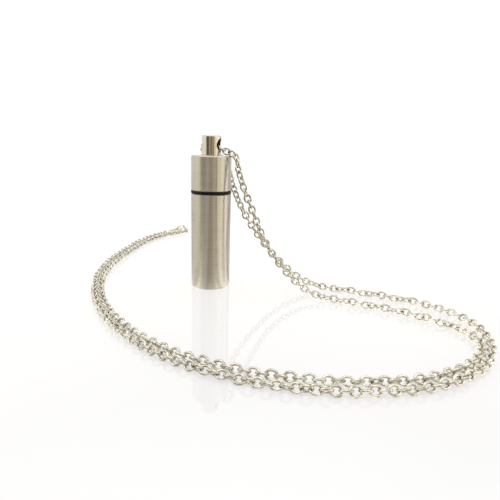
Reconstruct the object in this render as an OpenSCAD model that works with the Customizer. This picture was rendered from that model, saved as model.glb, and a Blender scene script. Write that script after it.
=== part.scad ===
// Keepsake urn pendant: a turned steel capsule on a cable chain, standing on its base.
// Origin at the centre of the base, Z up along the capsule, millimetres.

/* [Capsule] */
// Diameter of the capsule
capsule_d = 10; // [9.6:0.2:12]
// Height of the tube, from the base to its rim
tube_h = 24; // [20:1:36]
// Height of the cap, from its lower face to the shoulder
cap_h = 8.5; // [6:0.5:12]
// Radius of the tube's rounded base edge
base_round = 0.4; // [0.2:0.1:0.8]
// Chamfer of the shoulder and of the knob's top edge
edge_break = 0.25; // [0.1:0.05:0.5]
// Chamfer beside the seal, on the tube's rim and on the cap's lower edge
seal_edge_break = 0.12; // [0.05:0.01:0.2]

/* [Knob] */
// Diameter of the knob
knob_d = 4.8; // [4.5:0.1:4.8]
// Height of the knob above the shoulder
knob_h = 4.8; // [4.4:0.1:7]
// Diameter of the knob's cross hole
hole_d = 3; // [2.95:0.05:3.15]
// Height of the cross hole's centre above the shoulder
hole_up = 2.5; // [2.35:0.05:2.5]
// How far each mouth of the cross hole flares out
hole_flare = 0.3; // [0.1:0.05:0.35]
// Turn of the cross hole about the capsule, towards the front on its right side
hole_turn = 18; // [16:1:20]

/* [Seal] */
// Height of the squeezed rubber ring
seal_h = 0.8; // [0.6:0.1:1.2]
// How far the rubber ring stands proud of the capsule
seal_proud = 0.06; // [0:0.02:0.2]
// Rounding of the rubber ring's edges
seal_round = 0.3; // [0.1:0.05:0.3]

/* [Closure] */
// Wall of the tube at its mouth, round the bore that takes the spigot
rim_wall = 1; // [0.8:0.05:1.2]
// Radial running clearance of the spigot in the tube's mouth
running_gap = 0.05; // [0.03:0.01:0.09]
// Length of the spigot below the tube's rim
spigot_l = 5.5; // [4.5:0.5:8]
// Length of the spigot's plain guide below the cap
guide_l = 1.8; // [1.4:0.1:2.4]
// Pitch of the thread
thread_pitch = 1; // [0.75:0.05:1.25]
// Depth of the thread
thread_depth = 0.5; // [0.35:0.05:0.6]
// Wall of the tube round the keepsake space
side_wall = 1.4; // [1.3:0.05:2]
// Thickness of the tube's base
base_wall = 1.6; // [1:0.1:3]
// Space left under the spigot's tip before the keepsake space narrows
tip_space = 0.6; // [0.4:0.1:1.5]

/* [Chain] */
// Width of the chain across two neighbouring links
chain_w = 1.4; // [1.2:0.05:1.4]

/* [Clasp] */
// Wire diameter of the claw
claw_wire = 1; // [0.8:0.05:1]
// Radius of the claw's round ends, to the middle of the wire
claw_r = 1.5; // [1.5:0.05:1.8]
// Length of the claw's straight sides
claw_l = 1.8; // [1.6:0.1:2.4]
// Wire diameter of the clasp's eye
eye_wire = 0.7; // [0.5:0.05:0.8]
// Radius of the clasp's eye, to the middle of the wire
eye_r = 0.95; // [0.9:0.05:1.2]
// Length of the neck between eye and claw
neck_l = 0.6; // [0.4:0.1:1]
// Diameter of the thumb nub
nub_d = 0.8; // [0.6:0.1:1]
// How far the thumb nub stands out from the claw
nub_out = 0.6; // [0.4:0.1:1]
// Turn of the clasp on the surface, from the X axis
clasp_turn = 49; // [40:1:60]
// Slope of the clasp, from its eye up to the ring it lies on
clasp_rise = 6.8; // [6.4:0.2:7.2]

/* [Clasp ring] */
// Wire diameter of the ring
ring_wire = 0.6; // [0.5:0.05:0.6]
// Radius of the ring, to the middle of the wire
ring_r = 2; // [2:0.05:2.2]
// Lean of the ring from lying flat
ring_lean = 43; // [40:1:43]

/* [Hidden] */
$fn = 72;

capsule_r = capsule_d / 2;
knob_r = knob_d / 2;
mouth_r = capsule_r - rim_wall;
cavity_r = capsule_r - side_wall;
spigot_r = mouth_r - running_gap;
seal_r = capsule_r + seal_proud;
cap_z = tube_h + seal_h;
shoulder_z = cap_z + cap_h;
spigot_z = tube_h - spigot_l;
mouth_z = spigot_z - tip_space;
overlap = 0.2;        // how deep joined shapes reach into each other
cut = 1;              // how far a cutting shape runs past a face
flare_start = 0.2;    // how deep in the hole each flare begins

// Thread ridge: its crest stays inside the guide's radius
thread_core_r = spigot_r - thread_depth;
thread_steps = 24;    // steps in a turn
thread_top = cap_z - guide_l - thread_pitch / 2;
thread_low = spigot_z + thread_pitch / 2;
thread_rows = floor((thread_top - thread_low) / thread_pitch * thread_steps);
ridge_foot = 0.38 * thread_pitch;   // half the ridge's width at its foot
ridge_crest = 0.1 * thread_pitch;   // half the ridge's width at its crest
run_out = 8;          // rows over which the ridge fades at each end

// Chain route: middle of the chain, from the clasp's eye round to the clasp ring.
// On the surface the chain's middle is half its width up.
lay = chain_w / 2;
CHAIN_ROUTE = [
    // back strand along the surface, from the clasp to the right-hand turn
    [-18.5, 62, lay], [-21.6, 57.4, lay], [-25.4, 47.8, lay], [-29.1, 30.7, lay],
    [-30.8, 11.3, lay], [-27.8, -8.5, lay], [-19.9, -26.3, lay], [-8.5, -39.9, lay],
    [6, -49, lay], [22.5, -52.5, lay], [38.6, -50.3, lay], [47.5, -45, lay],
    [52.6, -38.5, lay], [54.9, -31.5, lay], [54.7, -25.7, lay], [51.6, -20, lay],
    [45.1, -14.1, lay], [37.7, -9.8, lay], [30.3, -6, lay],
    // up to the capsule's shoulder, from the right
    [23.3, -4.1, 2.8], [17.2, -1.5, 7.6], [12.4, 0.1, 13.2], [8.4, 1, 19.4],
    [5.9, 2.3, 25], [5, 4, 28.2], [3.8, 5.1, 30.8], [2.55, 5.41, 32.8],
    // behind the knob and into the hole's left mouth
    [1.5, 5, 34.15], [0.5, 4.2, 34.15], [-0.9, 3.5, 34.3], [-2, 2.85, 34.7],
    [-2.35, 2.05, 35.15], [-1.85, 1.1, 35.4], [-0.9, 0.45, 35.25],
    // through the hole, over the shoulder and down
    [0, 0, 35.1], [1.5, -0.48, 35.1], [2.4, -0.78, 34.95], [3.1, -1, 34.65],
    [3.75, -1.3, 34.4], [4.4, -1.65, 34.1], [5.1, -2.05, 33.85], [5.85, -2.45, 33.4],
    [6.2, -2.8, 32.4], [6.4, -3.1, 31], [7.8, -4.2, 26.2], [10.3, -5.6, 20],
    [13.7, -6.8, 12.5], [18.2, -8.6, 6.4], [23.6, -12, 2.1],
    // front strand along the surface, beside the first, to the clasp ring
    [30.3, -15.1, lay], [38.4, -19.7, lay], [45.3, -25, lay], [50.1, -30.9, lay],
    [51.5, -36, lay], [48.9, -41.2, lay], [42.4, -46.4, lay], [34.8, -49.2, lay],
    [24, -49.9, lay], [8, -46.9, lay], [-7, -38.7, lay], [-18.9, -24.8, lay], [-26.3, -8.1, lay],
    [-29.1, 10.2, lay], [-27.4, 29.6, lay], [-23.3, 47.1, lay], [-18.4, 57.6, lay],
    [-12, 64.2, lay], [-10.4, 66.2, 0.8], [-10.1, 67.6, 1], [-10.7, 68.7, 1.3]
];
chain_sides = 8;
ring_gap = 13;        // a stretch longer than this gets a ring at its middle
corner_r = chain_w / 2 / cos(180 / chain_sides);
hole_gap = 0.04;      // clear gap under the chain where it lies in the knob's hole
shoulder_gap = 0.22;  // clear gap between the chain and the cap's shoulder

// The route's points move with the capsule: not at all on the surface, fully beside the
// shoulder and above it
route_low = 2;        // a point this low keeps its place
beside_l = 5;         // below the hole, down to where the chain has left the shoulder
drape_l = 1.5;        // below the hole, down to where the chain comes beside the shoulder
route_top = max([for (p = CHAIN_ROUTE) if (norm([p[0], p[1]]) < 0.1) p[2]]);
beside_shoulder = [for (p = CHAIN_ROUTE)
    if (p[2] > route_top - beside_l && p[2] < route_top - drape_l) norm([p[0], p[1]])];
route_lift = shoulder_z + hole_up - hole_d / 2 + corner_r + hole_gap - route_top;
route_spread = (capsule_r + corner_r + shoulder_gap) / min(beside_shoulder);

// Clasp: distances along it from the end of the chain
join_gap = 0.1;       // clear gap between the chain's end and the eye
eye_x = join_gap + eye_wire / 2 + eye_r;
claw_near_x = eye_x + eye_r + neck_l + claw_r;
claw_far_x = claw_near_x + claw_l;
clasp_l = claw_far_x + claw_r - eye_x;
eye_up = eye_wire / 2 + eye_r * sin(clasp_rise);
tip_x = eye_x + clasp_l * cos(clasp_rise);
tip_up = eye_up + clasp_l * sin(clasp_rise);

// From the claw's tip to the ring's middle, up the ring's slope: the ring's low side
// rests on the surface
ring_shift = ring_r - (tip_up - ring_wire / 2) / sin(ring_lean);

function unit(v) = v / norm(v);

// Route point moved with the capsule's size
function fitted(p) =
    let (share = min(1, max(0, p[2] - route_low) / (route_top - beside_l - route_low)),
         spread = 1 + share * (route_spread - 1))
    [p[0] * spread, p[1] * spread, p[2] + share * route_lift];

// Direction of the route at point i: its two sides weighted by their lengths
function heading(r, i) =
    let (last = len(r) - 1)
    i == 0 ? unit(r[1] - r[0]) :
    i == last ? unit(r[last] - r[last - 1]) :
    let (a = r[i] - r[i - 1], b = r[i + 1] - r[i])
    (unit(a) * norm(b) + unit(b) * norm(a)) / (norm(a) + norm(b));

// Point at share t of the smooth curve from point i to the next
function on_route(r, i, t) =
    let (d = norm(r[i + 1] - r[i]), s = t * t, c = s * t)
    r[i] * (2 * c - 3 * s + 1) + r[i + 1] * (3 * s - 2 * c)
    + heading(r, i) * d * (c - 2 * s + t) + heading(r, i + 1) * d * (c - s);

// The route's points, with a middle point in each long stretch
function smooth_route(r) = concat(
    [for (i = [0:len(r) - 2])
        for (t = norm(r[i + 1] - r[i]) > ring_gap ? [0, 0.5] : [0]) on_route(r, i, t)],
    [r[len(r) - 1]]);

// Corners of the chain's section at point i, with a flat side underneath
function section(r, i) =
    let (t = unit(heading(r, i)), side = unit(cross(t, [0, 0, 1])), up = cross(side, t))
    [for (k = [0:chain_sides - 1]) let (a = (k + 0.5) * 360 / chain_sides)
        r[i] + side * corner_r * cos(a) + up * corner_r * sin(a)];

// Faces of a tube of n rings with m corners each
function tube_faces(n, m) = concat(
    [[for (k = [m - 1:-1:0]) k]],
    [for (i = [0:n - 2]) for (k = [0:m - 1])
        let (a = i * m + k, b = i * m + (k + 1) % m)
        each [[a, b + m, a + m], [a, b, b + m]]],
    [[for (k = [0:m - 1]) (n - 1) * m + k]]);

// Turned piece with a chamfer at each end
module turned(r, h, low_break, top_break) {
    rotate_extrude()
        polygon([[0, 0], [r - low_break, 0], [r, low_break], [r, h - top_break],
                 [r - top_break, h], [0, h]]);
}

// Right-handed ridge that fades out at both ends
module thread_ridge() {
    root_r = thread_core_r - overlap;
    low_crest_r = thread_core_r - overlap / 2;
    points = [for (i = [0:thread_rows])
        let (a = i * 360 / thread_steps,
             z = thread_low + i * thread_pitch / thread_steps,
             fade = min(1, i / run_out, (thread_rows - i) / run_out),
             crest_r = low_crest_r + (spigot_r - low_crest_r) * fade)
        each [[root_r * cos(a), root_r * sin(a), z - ridge_foot],
              [crest_r * cos(a), crest_r * sin(a), z - ridge_crest],
              [crest_r * cos(a), crest_r * sin(a), z + ridge_crest],
              [root_r * cos(a), root_r * sin(a), z + ridge_foot]]];
    polyhedron(points, tube_faces(thread_rows + 1, 4), convexity = 8);
}

// Cross hole of the knob, which flares at each mouth
module cross_hole() {
    hole_r = hole_d / 2;
    flare_at = sqrt(knob_r * knob_r - hole_r * hole_r) - flare_start;
    flare_l = knob_r + overlap - flare_at;
    translate([0, 0, shoulder_z + hole_up]) rotate([0, 0, -hole_turn]) rotate([0, 90, 0]) {
        cylinder(r = hole_r, h = 2 * (knob_r + cut), center = true);
        for (side = [0, 180]) rotate([side, 0, 0])
            translate([0, 0, flare_at - flare_l])
                cylinder(r1 = hole_r - hole_flare, r2 = hole_r + hole_flare, h = 2 * flare_l);
    }
}

module cap() {
    color("silver") difference() {
        union() {
            translate([0, 0, cap_z]) turned(capsule_r, cap_h, seal_edge_break, edge_break);
            translate([0, 0, shoulder_z - 2 * overlap])
                turned(knob_r, knob_h + 2 * overlap, overlap, edge_break);
            translate([0, 0, cap_z - guide_l])
                cylinder(r = spigot_r, h = guide_l + overlap);
            translate([0, 0, spigot_z])
                turned(thread_core_r, cap_z - spigot_z + 2 * overlap, edge_break, overlap);
            thread_ridge();
        }
        cross_hole();
    }
}

module seal_ring() {
    inner_r = spigot_r + running_gap;
    color("black") translate([0, 0, tube_h]) rotate_extrude() {
        for (z = [seal_round, seal_h - seal_round]) {
            translate([seal_r - seal_round, z]) circle(r = seal_round);
        }
        translate([inner_r, 0]) square([seal_r - seal_round - inner_r, seal_h]);
        translate([inner_r, seal_round]) square([seal_r - inner_r, seal_h - 2 * seal_round]);
    }
}

module urn_tube() {
    color("silver") difference() {
        rotate_extrude() {
            translate([capsule_r - base_round, base_round]) circle(r = base_round);
            square([capsule_r - base_round, tube_h / 2]);
            translate([0, base_round]) square([capsule_r, tube_h - seal_edge_break - base_round]);
            square([capsule_r - seal_edge_break, tube_h]);
            translate([0, tube_h - seal_edge_break])
                polygon([[0, 0], [capsule_r, 0], [capsule_r - seal_edge_break, seal_edge_break],
                         [0, seal_edge_break]]);
        }
        translate([0, 0, base_wall]) cylinder(r = cavity_r, h = tube_h);
        translate([0, 0, mouth_z]) cylinder(r = mouth_r, h = tube_h);
    }
}

module chain() {
    points = smooth_route([for (p = CHAIN_ROUTE) fitted(p)]);
    color("silver") polyhedron(
        [for (i = [0:len(points) - 1]) each section(points, i)],
        tube_faces(len(points), chain_sides), convexity = 8);
}

// Piece of a wire ring, from one angle round to another
module wire_arc(r, wire, from, angle) {
    rotate([0, 0, from]) rotate_extrude(angle = angle) translate([r, 0]) circle(d = wire);
}

// Puts its children at the chain's end on the clasp, along the clasp's way on the surface
module at_clasp() {
    translate([CHAIN_ROUTE[0][0], CHAIN_ROUTE[0][1], 0]) rotate([0, 0, clasp_turn]) children();
}

module clasp() {
    color("silver") at_clasp()
        translate([eye_x, 0, eye_up]) rotate([0, -clasp_rise, 0]) translate([-eye_x, 0, 0]) {
            translate([eye_x, 0, 0]) wire_arc(eye_r, eye_wire, 0, 360);
            translate([eye_x + eye_r, 0, 0]) rotate([0, 90, 0])
                cylinder(d = eye_wire, h = neck_l);
            translate([claw_near_x, 0, 0]) wire_arc(claw_r, claw_wire, 90, 180);
            translate([claw_far_x, 0, 0]) wire_arc(claw_r, claw_wire, -90, 180);
            for (side = [-1, 1]) translate([claw_near_x, side * claw_r, 0]) rotate([0, 90, 0])
                cylinder(d = claw_wire, h = claw_l);
            translate([claw_near_x + nub_d, -claw_r, 0]) rotate([90, 0, 0])
                cylinder(d = nub_d, h = claw_wire / 2 + nub_out);
        }
}

module clasp_ring() {
    color("silver") at_clasp()
        translate([tip_x, -ring_shift * cos(ring_lean), tip_up + ring_shift * sin(ring_lean)])
            rotate([-ring_lean, 0, 0]) wire_arc(ring_r, ring_wire, 0, 360);
}

cap();
seal_ring();
urn_tube();
chain();
clasp();
clasp_ring();
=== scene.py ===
"""Keepsake urn pendant: finishes, chain links, floor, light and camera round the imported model."""

import math
import random

import bpy
from mathutils import Matrix, Vector


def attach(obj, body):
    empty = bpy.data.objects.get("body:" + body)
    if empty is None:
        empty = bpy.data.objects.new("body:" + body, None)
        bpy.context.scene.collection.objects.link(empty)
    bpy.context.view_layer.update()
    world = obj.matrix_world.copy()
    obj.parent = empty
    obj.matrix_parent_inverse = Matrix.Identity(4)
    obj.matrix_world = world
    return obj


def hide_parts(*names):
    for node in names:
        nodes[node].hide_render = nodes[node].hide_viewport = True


MM = 0.001

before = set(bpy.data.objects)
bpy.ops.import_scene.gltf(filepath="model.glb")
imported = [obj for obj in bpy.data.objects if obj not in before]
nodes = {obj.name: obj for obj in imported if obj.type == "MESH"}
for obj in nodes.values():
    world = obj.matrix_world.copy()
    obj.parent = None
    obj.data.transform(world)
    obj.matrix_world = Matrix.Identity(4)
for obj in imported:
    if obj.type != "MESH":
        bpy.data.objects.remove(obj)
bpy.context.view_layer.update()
scene = bpy.context.scene

# Camera

PHOTO_PIXELS = 500
SENSOR_MM = 36.0
FOCAL_PIXELS = 413.8
CAMERA_AT = Vector((0.0, -105.3, 35.65)) * MM
CAMERA_YAW = math.radians(-5.58)
CAMERA_PITCH = math.radians(-13.99)
CAMERA_ROLL = math.radians(1.71)
CAMERA_NEAREST = 1 * MM
CAMERA_FARTHEST = 20.0


def place_camera():
    """Camera in front of the capsule, at the photograph's height, turn and tilt."""
    lens = bpy.data.cameras.new("photo_camera")
    lens.sensor_width = SENSOR_MM
    lens.lens = SENSOR_MM * FOCAL_PIXELS / PHOTO_PIXELS
    lens.clip_start = CAMERA_NEAREST
    lens.clip_end = CAMERA_FARTHEST
    lens.dof.use_dof = False
    camera = bpy.data.objects.new("photo_camera", lens)
    level = Matrix.Rotation(math.radians(90), 3, "X")
    turn = Matrix.Rotation(CAMERA_YAW, 3, "Z")
    tilt = Matrix.Rotation(CAMERA_PITCH, 3, "X")
    roll = Matrix.Rotation(CAMERA_ROLL, 3, "Z")
    camera.matrix_world = Matrix.Translation(CAMERA_AT) @ (turn @ tilt @ level @ roll).to_4x4()
    scene.collection.objects.link(camera)
    scene.camera = camera


place_camera()


# Node helpers


def add(tree, kind, **settings):
    """New node of that kind; a setting named for one of its inputs sets the input's value."""
    node = tree.nodes.new(kind)
    for name, value in settings.items():
        if hasattr(node, name):
            setattr(node, name, value)
        else:
            node.inputs[name.replace("_", " ")].default_value = value
    return node


def join(tree, source, target):
    tree.links.new(source, target)


def maths(tree, operation, first, second=None, clamp=False):
    """Math node on two sockets or numbers, as its output socket."""
    node = tree.nodes.new("ShaderNodeMath")
    node.operation = operation
    node.use_clamp = clamp
    for slot, value in zip(node.inputs, (first, second)):
        if value is None:
            continue
        if isinstance(value, bpy.types.NodeSocket):
            tree.links.new(value, slot)
        else:
            slot.default_value = value
    return node.outputs[0]


def ramp(tree, factor, stops):
    """Colour ramp through (place, colour) stops, as its colour output."""
    node = tree.nodes.new("ShaderNodeValToRGB")
    band = node.color_ramp
    while len(band.elements) < len(stops):
        band.elements.new(1.0)
    for element, (place, colour) in zip(band.elements, stops):
        element.position = place
        element.color = (*colour, 1.0)
    tree.links.new(factor, node.inputs["Fac"])
    return node.outputs["Color"]


def at(degrees):
    """Place on a ramp that runs once round the capsule, from behind to behind."""
    return 0.5 + degrees / 360


def turn_round(tree, place):
    """Turn round the capsule of a place or direction, 0 to 1 from behind to behind."""
    apart = add(tree, "ShaderNodeSeparateXYZ")
    join(tree, place, apart.inputs[0])
    towards = maths(tree, "MULTIPLY", apart.outputs["Y"], -1.0)
    angle = maths(tree, "ARCTAN2", apart.outputs["X"], towards)
    return maths(tree, "ADD", maths(tree, "DIVIDE", angle, 2 * math.pi), 0.5)


def mixed(tree, factor, first, second):
    """Colour between two colours or sockets, as an output socket."""
    node = add(tree, "ShaderNodeMix", data_type="RGBA")
    join(tree, factor, node.inputs["Factor"])
    ends = [s for s in node.inputs if s.type == "RGBA"]
    for slot, value in zip(ends, (first, second)):
        if isinstance(value, bpy.types.NodeSocket):
            join(tree, value, slot)
        else:
            slot.default_value = (*value, 1.0)
    return [s for s in node.outputs if s.type == "RGBA"][0]


def between(tree, value, low, high, start=0.0, end=1.0, curve="LINEAR"):
    """Value that goes from low to high while the given one goes from start to end, as a socket."""
    node = add(tree, "ShaderNodeMapRange", interpolation_type=curve)
    for name, number in (("From Min", start), ("From Max", end), ("To Min", low), ("To Max", high)):
        node.inputs[name].default_value = number
    join(tree, value, node.inputs["Value"])
    return node.outputs[0]


def noise(tree, place, scale, detail, roughness=0.5):
    """Noise over a place, as its output socket."""
    node = add(tree, "ShaderNodeTexNoise", Scale=scale, Detail=detail, Roughness=roughness)
    join(tree, place, node.inputs["Vector"])
    return node.outputs["Fac"]


def new_material(name):
    """Material with a Principled shader, as (material, tree, shader)."""
    material = bpy.data.materials.new(name)
    material.use_nodes = True
    tree = material.node_tree
    return material, tree, tree.nodes["Principled BSDF"]


# Finishes

STEEL = (0.60, 0.565, 0.51)
# Painted shade for the inside of the knob's cross hole
PAINTED_HOLE_SHADE = (0.10, 0.085, 0.07)
DULLEST = 0.88
BRIGHTEST = 1.02
MARK_STRETCH = (60.0, 60.0, 3200.0)
MARK_DEPTH = 0.01 * MM
# Share of the turning marks in the steel's tone; the rest is wear
MARK_SHARE = 0.6

SHOULDER = 33.3 * MM
KNOB_TOP = 38.1 * MM
KNOB_RADIUS = 2.4 * MM
# Painted shade: the cross hole is coloured dark from this far inside the knob's skin, foot and top
HOLE_SKIN = 0.03 * MM
HOLE_FOOT = 0.2 * MM
HOLE_HEAD = 0.3 * MM
# The knob is this share as rough as the cap, from just under the shoulder to just over it
KNOB_ROUGHNESS = 0.5
UNDER_SHOULDER = SHOULDER - 0.1 * MM
OVER_SHOULDER = SHOULDER + 0.3 * MM


def turned_steel():
    """Stainless steel with fine turning marks round the capsule's axis, and painted shade in the
    knob's cross hole.
    """
    material, tree, shader = new_material("turned_steel")
    place = add(tree, "ShaderNodeTexCoord")
    apart = add(tree, "ShaderNodeSeparateXYZ")
    join(tree, place.outputs["Object"], apart.inputs[0])
    round_axis = add(tree, "ShaderNodeCombineXYZ")
    join(tree, maths(tree, "MULTIPLY", apart.outputs["Y"], -1.0), round_axis.inputs["X"])
    join(tree, apart.outputs["X"], round_axis.inputs["Y"])
    join(tree, round_axis.outputs[0], shader.inputs["Tangent"])

    squash = add(tree, "ShaderNodeMapping")
    squash.inputs["Scale"].default_value = MARK_STRETCH
    join(tree, place.outputs["Object"], squash.inputs["Vector"])
    marks = noise(tree, squash.outputs[0], 1.0, 4.0, 0.7)
    bump = add(tree, "ShaderNodeBump", Strength=0.3)
    bump.inputs["Distance"].default_value = MARK_DEPTH
    join(tree, marks, bump.inputs["Height"])
    join(tree, bump.outputs[0], shader.inputs["Normal"])

    wear = noise(tree, place.outputs["Object"], 260.0, 4.0, 0.55)
    both = maths(tree, "ADD", maths(tree, "MULTIPLY", wear, 1 - MARK_SHARE),
                 maths(tree, "MULTIPLY", marks, MARK_SHARE))
    tone = ramp(tree, both, [
        (0.36, tuple(DULLEST * c for c in STEEL)), (0.62, tuple(BRIGHTEST * c for c in STEEL))])
    from_axis = maths(tree, "SQRT", maths(tree, "ADD", maths(tree, "POWER", apart.outputs["X"], 2.0),
                                          maths(tree, "POWER", apart.outputs["Y"], 2.0)))
    # Painted shade: inside the knob's cross hole the steel is coloured dark, as shade in a recess
    inside = maths(tree, "LESS_THAN", from_axis, KNOB_RADIUS - HOLE_SKIN)
    above = maths(tree, "GREATER_THAN", apart.outputs["Z"], SHOULDER + HOLE_FOOT)
    below = maths(tree, "LESS_THAN", apart.outputs["Z"], KNOB_TOP - HOLE_HEAD)
    hole_shade_mask = maths(tree, "MULTIPLY", inside, maths(tree, "MULTIPLY", above, below))
    join(tree, mixed(tree, hole_shade_mask, tone, PAINTED_HOLE_SHADE), shader.inputs["Base Color"])
    rough = between(tree, marks, 0.24, 0.39)
    on_knob = between(tree, apart.outputs["Z"], 1.0, KNOB_ROUGHNESS, UNDER_SHOULDER, OVER_SHOULDER)
    join(tree, maths(tree, "MULTIPLY", rough, on_knob), shader.inputs["Roughness"])
    shader.inputs["Metallic"].default_value = 1.0
    shader.inputs["Anisotropic"].default_value = 0.95
    shader.inputs["Anisotropic Rotation"].default_value = 0.25
    return material


def dapple(tree, shader, scale, detail, tones, roughness):
    """Gives a shader tones and a roughness that vary together over the piece."""
    place = add(tree, "ShaderNodeTexCoord")
    spots = noise(tree, place.outputs["Object"], scale, detail)
    join(tree, ramp(tree, spots, tones), shader.inputs["Base Color"])
    join(tree, between(tree, spots, *roughness), shader.inputs["Roughness"])


def seal_rubber():
    """Black rubber with a faint dusty bloom."""
    material, tree, shader = new_material("seal_rubber")
    dapple(tree, shader, 900.0, 4.0, [
        (0.35, (0.002, 0.002, 0.0025)), (0.75, (0.006, 0.006, 0.007))], (0.42, 0.6))
    shader.inputs["Specular IOR Level"].default_value = 0.2
    return material


def wire_steel():
    """Polished steel wire of the links, slightly uneven from tumbling."""
    material, tree, shader = new_material("wire_steel")
    dapple(tree, shader, 1500.0, 3.0, [
        (0.36, (0.40, 0.38, 0.335)), (0.62, (0.78, 0.755, 0.69))], (0.04, 0.10))
    shader.inputs["Metallic"].default_value = 1.0
    return material


def clasp_steel():
    """Steel of the clasp and its ring, satin from the cast."""
    material, tree, shader = new_material("clasp_steel")
    dapple(tree, shader, 1200.0, 4.0, [
        (0.35, (0.64, 0.62, 0.50)), (0.65, (0.80, 0.78, 0.66))], (0.3, 0.42))
    shader.inputs["Metallic"].default_value = 1.0
    return material


STEEL_TURNED = turned_steel()
RUBBER = seal_rubber()
STEEL_WIRE = wire_steel()
STEEL_SATIN = clasp_steel()


def finish(node, material):
    """Gives a CAD node one finish all over."""
    slots = nodes[node].data.materials
    slots.clear()
    slots.append(material)


finish("cap", STEEL_TURNED)
finish("urn_tube", STEEL_TURNED)
finish("seal_ring", RUBBER)
finish("clasp", STEEL_SATIN)
finish("clasp_ring", STEEL_SATIN)


# Chain: its route and its links are in millimetres

# Height of the route where the chain lies on the surface
LAY = 0.7
CHAIN_ROUTE = [
    # back strand along the surface, from the clasp to the right-hand turn
    (-18.5, 62, LAY), (-21.6, 57.4, LAY), (-25.4, 47.8, LAY), (-29.1, 30.7, LAY),
    (-30.8, 11.3, LAY), (-27.8, -8.5, LAY), (-19.9, -26.3, LAY), (-8.5, -39.9, LAY),
    (6, -49, LAY), (22.5, -52.5, LAY), (38.6, -50.3, LAY), (47.5, -45, LAY),
    (52.6, -38.5, LAY), (54.9, -31.5, LAY), (54.7, -25.7, LAY), (51.6, -20, LAY),
    (45.1, -14.1, LAY), (37.7, -9.8, LAY), (30.3, -6, LAY),
    # up to the capsule's shoulder, from the right
    (23.3, -4.1, 2.8), (17.2, -1.5, 7.6), (12.4, 0.1, 13.2), (8.4, 1, 19.4),
    (5.9, 2.3, 25), (5, 4, 28.2), (3.8, 5.1, 30.8), (2.55, 5.41, 32.8),
    # behind the knob and into the hole's left mouth
    (1.5, 5, 34.15), (0.5, 4.2, 34.15), (-0.9, 3.5, 34.3), (-2, 2.85, 34.7),
    (-2.35, 2.05, 35.15), (-1.85, 1.1, 35.4), (-0.9, 0.45, 35.25),
    # through the hole, over the shoulder and down
    (0, 0, 35.1), (1.5, -0.48, 35.1), (2.4, -0.78, 34.95), (3.1, -1, 34.65),
    (3.75, -1.3, 34.4), (4.4, -1.65, 34.1), (5.1, -2.05, 33.85), (5.85, -2.45, 33.4),
    (6.2, -2.8, 32.4), (6.4, -3.1, 31), (7.8, -4.2, 26.2), (10.3, -5.6, 20),
    (13.7, -6.8, 12.5), (18.2, -8.6, 6.4), (23.6, -12, 2.1),
    # front strand along the surface, beside the first, to the clasp ring
    (30.3, -15.1, LAY), (38.4, -19.7, LAY), (45.3, -25, LAY), (50.1, -30.9, LAY),
    (51.5, -36, LAY), (48.9, -41.2, LAY), (42.4, -46.4, LAY), (34.8, -49.2, LAY),
    (24, -49.9, LAY), (8, -46.9, LAY), (-7, -38.7, LAY), (-18.9, -24.8, LAY), (-26.3, -8.1, LAY),
    (-29.1, 10.2, LAY), (-27.4, 29.6, LAY), (-23.3, 47.1, LAY), (-18.4, 57.6, LAY),
    (-12, 64.2, LAY), (-10.4, 66.2, 0.8), (-10.1, 67.6, 1), (-10.7, 68.7, 1.3),
]
LINK_LENGTH = 2.48
LINK_WIDTH = 2.02
LINK_WIRE = 0.5
LINK_PITCH = 1.48
LINK_SIDES = 14
WIRE_SIDES = 6
ROUTE_STEPS = 24

# Places where a link's middle lies: behind the hole's left mouth, and first out on the right
BEHIND_MOUTH = (-2.35, 2.05, 35.15)
FIRST_OUT = (3.75, -1.3, 34.4)

# Roll of every second link, in degrees from lying flat, by millimetres along the chain
# from the link behind the mouth; where it grows the chain is twisted
LINK_ROLLS = [
    (-95.0, -315.0), (-75.5, -289.0), (-45.9, 71.0), (-30.0, 59.0), (-24.0, 77.0),
    (-20.5, 108.0), (-16.3, 104.0), (-14.8, 80.0), (-11.8, 84.0), (-7.4, 18.0), (-4.4, 18.0),
    (0.0, 90.0), (5.5, 0.0), (6.4, 2.0), (7.4, 28.0), (8.9, 68.0), (11.0, 78.0), (16.2, 80.0),
    (23.6, 124.0), (41.5, 115.0), (49.0, 111.0), (60.8, 291.0), (72.7, 471.0), (77.1, 561.0),
    (84.5, 651.0), (95.0, 675.0),
]
# Each link sways about its roll by two waves along the chain, as (degrees, pace, start),
# and by chance up to so many degrees; as far as TAUT_REACH from the knob it sways less
SWAY_WAVES = [(9, 0.11, 0.0), (7, 0.37, 1.3)]
SWAY_CHANCE = 10
SWAY_SEED = 11
TAUT_REACH = 85.0
TAUT_SWAY = 0.35
# Links with their middle lower than this lie on the floor
FLOOR_LEVEL = 1.0


def smooth_route(points):
    """Points along the smooth curve through the route's points."""
    points = [Vector(p) for p in points]
    last = len(points) - 1

    def heading(i):
        if i == 0:
            return (points[1] - points[0]).normalized()
        if i == last:
            return (points[last] - points[last - 1]).normalized()
        before = points[i] - points[i - 1]
        after = points[i + 1] - points[i]
        weighted = before.normalized() * after.length + after.normalized() * before.length
        return weighted / (before.length + after.length)

    line = []
    for i in range(last):
        a, b = points[i], points[i + 1]
        reach = (b - a).length
        for step in range(ROUTE_STEPS):
            t = step / ROUTE_STEPS
            s, c = t * t, t * t * t
            line.append(
                a * (2 * c - 3 * s + 1) + b * (3 * s - 2 * c)
                + heading(i) * reach * (c - 2 * s + t) + heading(i + 1) * reach * (c - s))
    line.append(points[last])
    return line


def nearest_reach(line, reach, place):
    """Distance along the line of its point nearest to a place."""
    place = Vector(place)
    return min(zip(line, reach), key=lambda point: (point[0] - place).length)[1]


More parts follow.
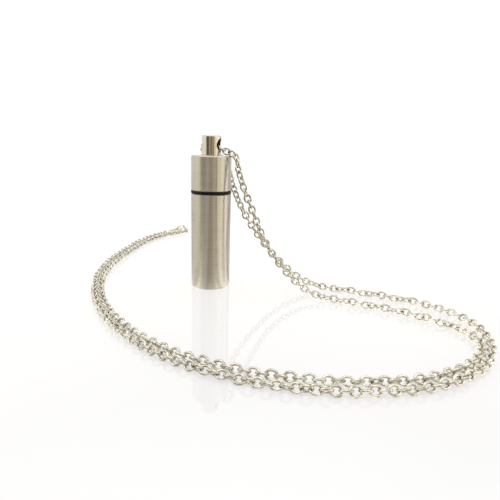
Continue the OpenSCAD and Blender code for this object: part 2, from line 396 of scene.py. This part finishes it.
def link_stations(line):
    """Middle, direction and distance of each link, evenly spaced between the held links."""
    reach = [0.0]
    for a, b in zip(line, line[1:]):
        reach.append(reach[-1] + (b - a).length)
    behind = nearest_reach(line, reach, BEHIND_MOUTH)
    held = [0.0, behind, nearest_reach(line, reach, FIRST_OUT), reach[-1]]
    distances = [0.0]
    for near, far in zip(held, held[1:]):
        count = round((far - near) / LINK_PITCH)
        distances += [near + (far - near) * (k + 1) / count for k in range(count)]
    stations = []
    i = 0
    for along in distances:
        while i < len(line) - 2 and reach[i + 1] < along:
            i += 1
        share = (along - reach[i]) / (reach[i + 1] - reach[i])
        way = (line[i + 1] - line[i]).normalized()
        stations.append((line[i].lerp(line[i + 1], share), way, along))
    middle_link = distances.index(behind)
    return stations, middle_link


def roll_at(from_knob):
    """Roll of every second link, in degrees, before its own sway."""
    if from_knob < LINK_ROLLS[0][0]:
        return LINK_ROLLS[0][1]
    for (near, start), (far, end) in zip(LINK_ROLLS, LINK_ROLLS[1:]):
        if from_knob <= far:
            return start + (end - start) * (from_knob - near) / (far - near)
    return LINK_ROLLS[-1][1]


def link_turns():
    """Middle and turn of each link: neighbours stand square to each other."""
    stations, middle_link = link_stations(smooth_route(CHAIN_ROUTE))
    knob_at = stations[middle_link][2]
    chance = random.Random(SWAY_SEED)
    half_hoop = (LINK_WIDTH - LINK_WIRE) / 2
    links = []
    for k, (middle, way, along) in enumerate(stations):
        from_knob = along - knob_at
        sway = sum(size * math.sin(along * pace + start) for size, pace, start in SWAY_WAVES)
        sway += chance.uniform(-SWAY_CHANCE, SWAY_CHANCE)
        if abs(from_knob) < TAUT_REACH:
            sway *= TAUT_SWAY
        lean = math.radians(roll_at(from_knob) + sway + 90 * ((k - middle_link) % 2))
        side = way.cross(Vector((0, 0, 1))).normalized()
        up = side.cross(way)
        width = side * math.cos(lean) + up * math.sin(lean)
        if middle.z < FLOOR_LEVEL:
            rise = max(abs(math.sin(lean)), abs(math.cos(lean)))
            middle = Vector((middle.x, middle.y, half_hoop * rise + LINK_WIRE / 2))
        turn = Matrix((way, width, way.cross(width))).transposed().to_euler()
        links.append((middle * MM, turn))
    return links


def link_maker():
    """Geometry nodes that put an oval wire link on each point, turned as its point says."""
    tree = bpy.data.node_groups.new("chain_links", "GeometryNodeTree")
    sockets = tree.interface
    sockets.new_socket("Geometry", in_out="INPUT", socket_type="NodeSocketGeometry")
    for name, kind in (
        ("Link Length", "NodeSocketFloat"), ("Link Width", "NodeSocketFloat"),
        ("Wire Diameter", "NodeSocketFloat"), ("Link Sides", "NodeSocketInt"),
        ("Wire Sides", "NodeSocketInt"), ("Finish", "NodeSocketMaterial"),
    ):
        sockets.new_socket(name, in_out="INPUT", socket_type=kind)
    sockets.new_socket("Geometry", in_out="OUTPUT", socket_type="NodeSocketGeometry")
    given = add(tree, "NodeGroupInput")
    made = add(tree, "NodeGroupOutput")

    hoop = add(tree, "GeometryNodeCurvePrimitiveCircle")
    join(tree, given.outputs["Link Sides"], hoop.inputs["Resolution"])
    hoop.inputs["Radius"].default_value = 1.0
    half = {}
    for name in ("Link Length", "Link Width"):
        clear = maths(tree, "SUBTRACT", given.outputs[name], given.outputs["Wire Diameter"])
        half[name] = maths(tree, "MULTIPLY", clear, 0.5)
    size = add(tree, "ShaderNodeCombineXYZ")
    join(tree, half["Link Length"], size.inputs["X"])
    join(tree, half["Link Width"], size.inputs["Y"])
    size.inputs["Z"].default_value = 1.0
    oval = add(tree, "GeometryNodeTransform")
    join(tree, hoop.outputs["Curve"], oval.inputs["Geometry"])
    join(tree, size.outputs[0], oval.inputs["Scale"])
    wire = add(tree, "GeometryNodeCurvePrimitiveCircle")
    join(tree, given.outputs["Wire Sides"], wire.inputs["Resolution"])
    join(tree, maths(tree, "MULTIPLY", given.outputs["Wire Diameter"], 0.5), wire.inputs["Radius"])
    link = add(tree, "GeometryNodeCurveToMesh")
    join(tree, oval.outputs["Geometry"], link.inputs["Curve"])
    join(tree, wire.outputs["Curve"], link.inputs["Profile Curve"])

    turn = add(tree, "GeometryNodeInputNamedAttribute", data_type="FLOAT_VECTOR")
    turn.inputs["Name"].default_value = "link_turn"
    string = add(tree, "GeometryNodeInstanceOnPoints")
    join(tree, given.outputs["Geometry"], string.inputs["Points"])
    join(tree, link.outputs["Mesh"], string.inputs["Instance"])
    join(tree, turn.outputs["Attribute"], string.inputs["Rotation"])
    real = add(tree, "GeometryNodeRealizeInstances")
    join(tree, string.outputs["Instances"], real.inputs["Geometry"])
    smooth = add(tree, "GeometryNodeSetShadeSmooth")
    join(tree, real.outputs["Geometry"], smooth.inputs["Geometry"])
    coat = add(tree, "GeometryNodeSetMaterial")
    join(tree, smooth.outputs["Geometry"], coat.inputs["Geometry"])
    join(tree, given.outputs["Finish"], coat.inputs["Material"])
    join(tree, coat.outputs["Geometry"], made.inputs["Geometry"])
    return tree


def string_chain():
    """Whole chain as one mesh of interlocked links."""
    links = link_turns()
    dots = bpy.data.meshes.new("link_places")
    dots.from_pydata([tuple(middle) for middle, _ in links], [], [])
    turns = dots.attributes.new("link_turn", "FLOAT_VECTOR", "POINT")
    turns.data.foreach_set("vector", [angle for _, turn in links for angle in turn])
    rough = bpy.data.objects.new("link_places", dots)
    scene.collection.objects.link(rough)
    modifier = rough.modifiers.new("links", "NODES")
    modifier.node_group = link_maker()
    wanted = {
        "Link Length": LINK_LENGTH * MM, "Link Width": LINK_WIDTH * MM,
        "Wire Diameter": LINK_WIRE * MM, "Link Sides": LINK_SIDES,
        "Wire Sides": WIRE_SIDES, "Finish": STEEL_WIRE,
    }
    for item in modifier.node_group.interface.items_tree:
        if item.item_type == "SOCKET" and item.in_out == "INPUT" and item.name in wanted:
            modifier[item.identifier] = wanted[item.name]
    bpy.context.view_layer.update()
    seen = rough.evaluated_get(bpy.context.evaluated_depsgraph_get())
    mesh = bpy.data.meshes.new_from_object(seen)
    mesh.name = "chain_of_links"
    chain = bpy.data.objects.new("chain_of_links", mesh)
    scene.collection.objects.link(chain)
    bpy.data.objects.remove(rough)
    return chain


chain = string_chain()
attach(chain, "pendant")
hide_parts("chain")


# Floor and light

BOARD_REACH = 6.0
BOARD_DROP = 0.02 * MM
BOARD_GREY = (0.36, 0.36, 0.36)
BOARD_GLOW = 0.54
PLAIN_WHITE = 1.02
# The board turns plain white between these distances from the capsule's axis
PLAIN_FROM = 72 * MM
PLAIN_BEYOND = 115 * MM
# Seen in the steel, the board darkens over this distance and loses its glow over that one
FADE_REACH = 100 * MM
GLOW_REACH = 8 * MM

# How light the board looks in the steel, by side of the capsule in degrees from the front
FLOOR_SHARES = [
    (-143, 0.72), (-115, 1.25), (-95, 1.05), (-79, 0.8), (-64, 0.58), (-54, 1.6), (-38, 1.15),
    (-26, 0.95), (-13, 0.2), (0, 0.55), (11, 0.5), (23, 1.2), (35, 0.35), (48, 1.7),
    (61, 1.7), (76, 1.0), (90, 1.8), (110, 0.55), (137, 1.8),
]

# Light of the room near the horizon, by side in degrees from the front
ROOM_SIDES = [
    (-180, (1.00, 1.00, 1.00)),
    (-150, (1.15, 1.15, 1.12)),
    (-115, (1.28, 1.25, 1.18)),
    (-80, (1.50, 1.48, 1.23)),
    (-68, (1.30, 1.26, 0.98)),
    (-58, (0.20, 0.17, 0.10)),
    (-50, (0.06, 0.05, 0.02)),
    (-37, (0.02, 0.02, 0.01)),
    (-28, (0.34, 0.28, 0.19)),
    (-18, (0.60, 0.52, 0.39)),
    (-6, (0.34, 0.24, 0.13)),
    (2, (0.26, 0.17, 0.09)),
    (10, (0.54, 0.40, 0.25)),
    (22, (0.68, 0.53, 0.35)),
    (31, (0.12, 0.08, 0.02)),
    (39, (1.70, 1.62, 1.10)),
    (50, (1.15, 1.08, 0.75)),
    (62, (1.80, 1.65, 1.35)),
    (70, (2.30, 2.10, 1.75)),
    (82, (1.30, 1.14, 1.02)),
    (98, (2.40, 2.26, 2.16)),
    (116, (1.05, 0.99, 0.97)),
    (142, (0.80, 0.78, 0.76)),
    (158, (1.00, 1.00, 1.00)),
    (180, (1.00, 1.00, 1.00)),
]
# Its upper part and the light overhead, and how steeply up each begins and is full:
# 0 is level and 1 straight up
UPPER_ROOM = (0.94, 0.86, 0.70)
UPPER_SHARE = 0.6
UPPER_FROM = 0.14
UPPER_FULL = 0.32
OVERHEAD = (1.5, 1.48, 1.42)
OVERHEAD_FROM = 0.55
OVERHEAD_FULL = 0.8


def glossy_white():
    """White gloss board that the pendant stands on."""
    material, tree, shader = new_material("glossy_white")
    path = add(tree, "ShaderNodeLightPath")
    fading = maths(tree, "DIVIDE", path.outputs["Ray Length"], FADE_REACH, clamp=True)
    by_distance = ramp(tree, fading, [
        (0.0, (0.92, 0.90, 0.82)), (0.35, (0.66, 0.64, 0.57)), (1.0, (0.26, 0.25, 0.22))])
    place = add(tree, "ShaderNodeTexCoord")
    by_side = ramp(tree, turn_round(tree, place.outputs["Object"]), [
        (at(degrees), (share, share, share)) for degrees, share in FLOOR_SHARES])
    in_steel = add(tree, "ShaderNodeVectorMath", operation="MULTIPLY")
    join(tree, by_distance, in_steel.inputs[0])
    join(tree, by_side, in_steel.inputs[1])
    shown = mixed(tree, path.outputs["Is Glossy Ray"], BOARD_GREY, in_steel.outputs[0])
    join(tree, shown, shader.inputs["Base Color"])
    far_hit = maths(tree, "DIVIDE", path.outputs["Ray Length"], GLOW_REACH, clamp=True)
    dimmed = maths(tree, "MULTIPLY", path.outputs["Is Glossy Ray"], far_hit)
    glow = maths(tree, "SUBTRACT", 1.0, dimmed)
    join(tree, maths(tree, "MULTIPLY", glow, BOARD_GLOW), shader.inputs["Emission Strength"])
    shader.inputs["Emission Color"].default_value = (1.0, 1.0, 1.0, 1.0)
    shader.inputs["Roughness"].default_value = 0.03
    shader.inputs["IOR"].default_value = 1.85

    # farther out the board is plain white and mirrors nothing
    spread = add(tree, "ShaderNodeVectorMath", operation="LENGTH")
    join(tree, place.outputs["Object"], spread.inputs[0])
    outside = between(tree, spread.outputs["Value"], 0.0, 1.0, PLAIN_FROM, PLAIN_BEYOND, "SMOOTHSTEP")
    direct = maths(tree, "SUBTRACT", 1.0, path.outputs["Is Glossy Ray"])
    plain = add(tree, "ShaderNodeEmission", Strength=PLAIN_WHITE)
    whole = add(tree, "ShaderNodeMixShader")
    join(tree, maths(tree, "MULTIPLY", outside, direct), whole.inputs["Fac"])
    join(tree, shader.outputs[0], whole.inputs[1])
    join(tree, plain.outputs[0], whole.inputs[2])
    join(tree, whole.outputs[0], tree.nodes["Material Output"].inputs["Surface"])
    return material


def lay_floor():
    """Wide white board under the pendant."""
    corners = [(x * BOARD_REACH, y * BOARD_REACH, 0) for x, y in ((-1, -1), (1, -1), (1, 1), (-1, 1))]
    mesh = bpy.data.meshes.new("white_floor")
    mesh.from_pydata(corners, [], [(0, 1, 2, 3)])
    mesh.materials.append(glossy_white())
    floor = bpy.data.objects.new("white_floor", mesh)
    floor.location.z = -BOARD_DROP
    scene.collection.objects.link(floor)


def studio_walls():
    """Light of the studio by direction: white behind, a dim warm room in front."""
    world = bpy.data.worlds.new("studio")
    world.use_nodes = True
    scene.world = world
    tree = world.node_tree
    back = tree.nodes["Background"]
    place = add(tree, "ShaderNodeTexCoord")
    walls = ramp(tree, turn_round(tree, place.outputs["Generated"]), [
        (at(degrees), colour) for degrees, colour in ROOM_SIDES])
    apart = add(tree, "ShaderNodeSeparateXYZ")
    join(tree, place.outputs["Generated"], apart.inputs[0])
    rise = apart.outputs["Z"]
    upper = between(tree, rise, 0.0, UPPER_SHARE, UPPER_FROM, UPPER_FULL, "SMOOTHSTEP")
    overhead = between(tree, rise, 0.0, 1.0, OVERHEAD_FROM, OVERHEAD_FULL)
    room = mixed(tree, overhead, mixed(tree, upper, walls, UPPER_ROOM), OVERHEAD)
    path = add(tree, "ShaderNodeLightPath")
    shown = mixed(tree, path.outputs["Is Glossy Ray"], (PLAIN_WHITE,) * 3, room)
    join(tree, shown, back.inputs["Color"])
    back.inputs["Strength"].default_value = 1.0


lay_floor()
studio_walls()
scene.view_settings.view_transform = "Standard"
